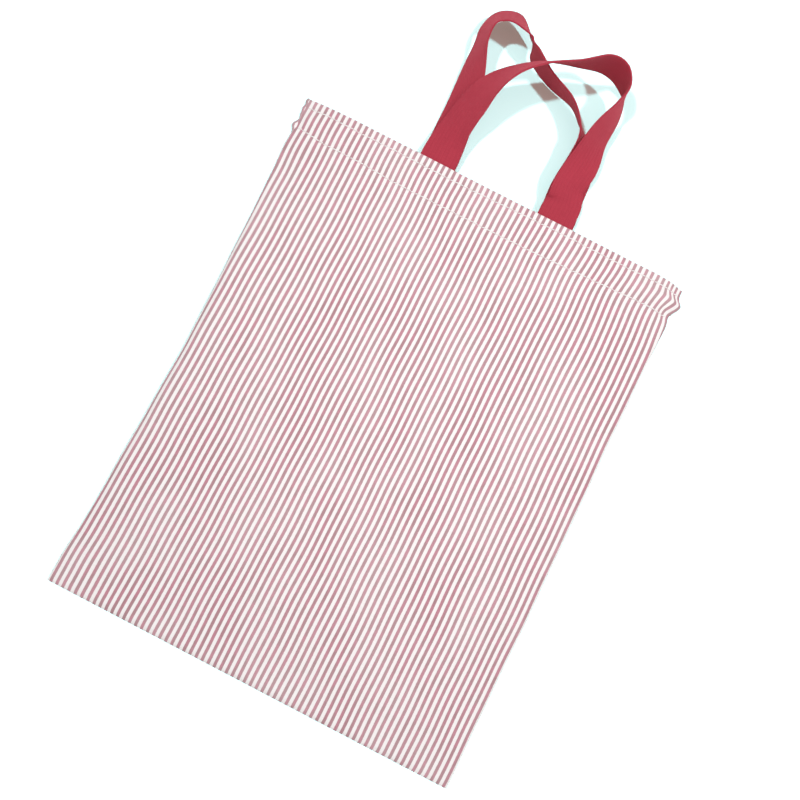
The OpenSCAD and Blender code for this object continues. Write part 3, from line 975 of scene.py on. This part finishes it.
def softbox():
    """A wide round lamp that faces the middle of the bag, so the light falls off towards the bottom."""
    lamp = bpy.data.lights.new("softbox", "AREA")
    lamp.shape = "DISK"
    lamp.energy, lamp.size = SOFTBOX, SOFTBOX_WIDE
    ob = bpy.data.objects.new("softbox", lamp)
    away = Vector(SOFTBOX_AT)
    ob.matrix_world = Matrix.Translation(away) @ away.to_track_quat("Z", "Y").to_matrix().to_4x4()
    bpy.context.scene.collection.objects.link(ob)


def studio(only_floor):
    """Soft light from all round, a wide lamp and two small ones, which double the handles' shadows.

    The floor has a stronger pair of its own from the same two sides, so a single shadow on it is pale and
    cool, and the place where two shadows cross is darker and warm.
    """
    scene = bpy.context.scene
    scene.view_settings.view_transform = "Standard"
    world = bpy.data.worlds.new("room")
    scene.world = world
    world.use_nodes = True
    n = Nodes(world.node_tree)
    back = world.node_tree.nodes["Background"]
    back.inputs["Color"].default_value = (*PLAIN, 1.0)
    strength = n.plus(ROOM_LIGHT, n.times(seen_by_camera(n), 1.0 - ROOM_LIGHT))
    n.tree.links.new(strength, back.inputs["Strength"])
    for side, heading in (("left", FROM_LEFT), ("right", FROM_RIGHT)):
        sun(f"lamp_{side}", heading, LAMP, LAMP_SOFTNESS)
        sun(f"floor_lamp_{side}", heading, FLOOR_LAMP, FLOOR_SOFTNESS, FLOOR_TINT, only_floor)
    softbox()


def camera():
    """The camera, nearly overhead and turned so that the bag lies slantwise."""
    data = bpy.data.cameras.new("camera")
    data.lens, data.sensor_width = CAMERA_LENS, CAMERA_SENSOR
    data.clip_start, data.clip_end = CAMERA_CLIP
    turn = Matrix([CAMERA_RIGHT, CAMERA_UP, CAMERA_BACK]).transposed().to_quaternion().to_matrix()
    ob = bpy.data.objects.new("camera", data)
    ob.matrix_world = Matrix.Translation(CAMERA_AT) @ turn.to_4x4()
    bpy.context.scene.collection.objects.link(ob)
    bpy.context.scene.camera = ob


# ---- The bag ----


def spaced(*runs):
    """Places along a line in runs of their own step: each run is (from, to, step)."""
    parts = [np.linspace(a, b, max(2, int(round(abs(b - a) / gap)) + 1)) for a, b, gap in runs]
    return np.unique(np.round(np.concatenate(parts), 6))


def across_panel(fine, plain):
    """Columns of a panel from edge to edge, -1 to 1, closer together near both."""
    near = 0.83
    return spaced((-1, -near, fine), (-near, near, plain), (near, 1, fine))


def panels(cotton):
    """The front and the back, each one cloth from the bottom seam up and over into its hem.

    Their rows lie closer together at the bottom seam and in the hem. The front's are the closer ones.
    """
    rows = spaced((0, 12, 1.0), (12, 384, 2.9), (384, PANEL, 1.1))
    point, uv = hem_rows(front_place, across_panel(fine=0.006, plain=0.0125), front_edge, rows, -1)
    front = shell("front_cloth", point, uv, CLOTH, cotton)
    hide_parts("front_panel", "front_hem")
    rows = spaced((0, 14, 1.5), (14, 384, 4.0), (384, PANEL, 1.5))
    across = across_panel(fine=0.009, plain=0.018)
    point, uv = hem_rows(back_place, across, lambda s, q: HALF_ACROSS, rows, 1)
    back = shell("back_cloth", point, uv, CLOTH, cotton)
    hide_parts("back_panel", "back_hem")
    for piece, under in ((front, ["back_cloth"]), (back, [])):
        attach(piece, "bag")


def handles(webbing):
    """The two handles, each one strip from one sewn-in end to the other."""
    front = handle("front_webbing", FRONT_ROUTE, FRONT_EXIT, webbing)
    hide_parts("front_handle", "front_handle_left_end", "front_handle_right_end")
    back = handle("back_webbing", BACK_ROUTE, BACK_EXIT, webbing)
    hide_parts("back_handle", "back_handle_left_end", "back_handle_right_end")
    for piece, loop in ((front, "front_loop"), (back, "back_loop")):
        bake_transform(piece)


def inner_back(s, q):
    """The inside of the back's hem, two plies above the back panel."""
    return back_place(s, q) + np.array([0, 0, 2 * PLY])


def hem_stitches(thread):
    """Both rows of stitches round the mouth, on the front and inside on the back, slanting a little."""
    sides = (("front", front_place, FRONT_STITCHES), ("back", inner_back, BACK_STITCHES))
    for name, row in (("upper", UPPER_ROW), ("lower", LOWER_ROW)):
        for side, place, count in sides:
            middle = np.arange(-count, count + 1) * HEM_PITCH
            ends = []
            for way in (-1, 1):
                s = middle + way * HALF_STITCH
                q = PANEL - row_depth(row, s) + wave(s, *row["wave"]) + way * STITCH_SLANT
                ends.append(np.stack([s, q], -1))
            piece = stitches(f"{side}_{name}_thread", *ends, place, THREAD, thread)
            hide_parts(f"{side}_{name}_stitches")
            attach(piece, "bag")


def seams(cotton, thread):
    """The allowances of the three seams inside, each with its row of stitches and its bound edge."""
    runs = (
        ("left", side_allowance_place(-1), *SIDE_SEAM, True),
        ("right", side_allowance_place(1), *SIDE_SEAM, False),
        ("bottom", bottom_allowance_place, *BOTTOM_SEAM, False),
    )
    for name, place, low, high, flip in runs:
        strip = allowance(f"{name}_allowance", place, low, high, flip, cotton)
        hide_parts(f"{name}_seam_allowance")
        middle = np.arange(low + SEAM_ENDS[0], high - SEAM_ENDS[1], SEAM_PITCH)
        inset = np.full_like(middle, SEAM_LINE)
        ends = [np.stack([inset, middle + way * SEAM_STITCH / 2], -1) for way in (-1, 1)]
        lift = CLOTH / 2 + STITCH_LIFT
        seam = stitches(f"{name}_seam_thread", *ends, place, SEAM_THREAD, thread, lift=lift)
        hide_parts(f"{name}_seam_stitches")
        first, last = low + OVERLOCK_ENDS[0], high - OVERLOCK_ENDS[1]
        bound = overlock(f"{name}_edge_thread", place, first, last, thread)
        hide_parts(f"{name}_overlock")
        for piece in (strip, seam, bound):
            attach(piece, "bag")


def dress():
    """Makes the three finishes and every piece of the bag."""
    weave, uneven = woven_yarns(), uneven_yarn()
    cotton, webbing, thread = striped_cotton(weave, uneven), red_webbing(uneven), white_thread(uneven)
    panels(cotton)
    handles(webbing)
    hem_stitches(thread)
    seams(cotton, thread)


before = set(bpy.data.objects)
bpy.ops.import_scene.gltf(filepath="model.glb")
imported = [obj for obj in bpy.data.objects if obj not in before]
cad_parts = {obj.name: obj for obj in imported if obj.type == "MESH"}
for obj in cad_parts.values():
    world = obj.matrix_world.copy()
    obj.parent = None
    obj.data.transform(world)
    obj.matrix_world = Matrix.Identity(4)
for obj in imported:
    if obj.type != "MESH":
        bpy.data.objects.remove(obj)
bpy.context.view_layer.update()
camera()
studio(pale_floor())
dress()
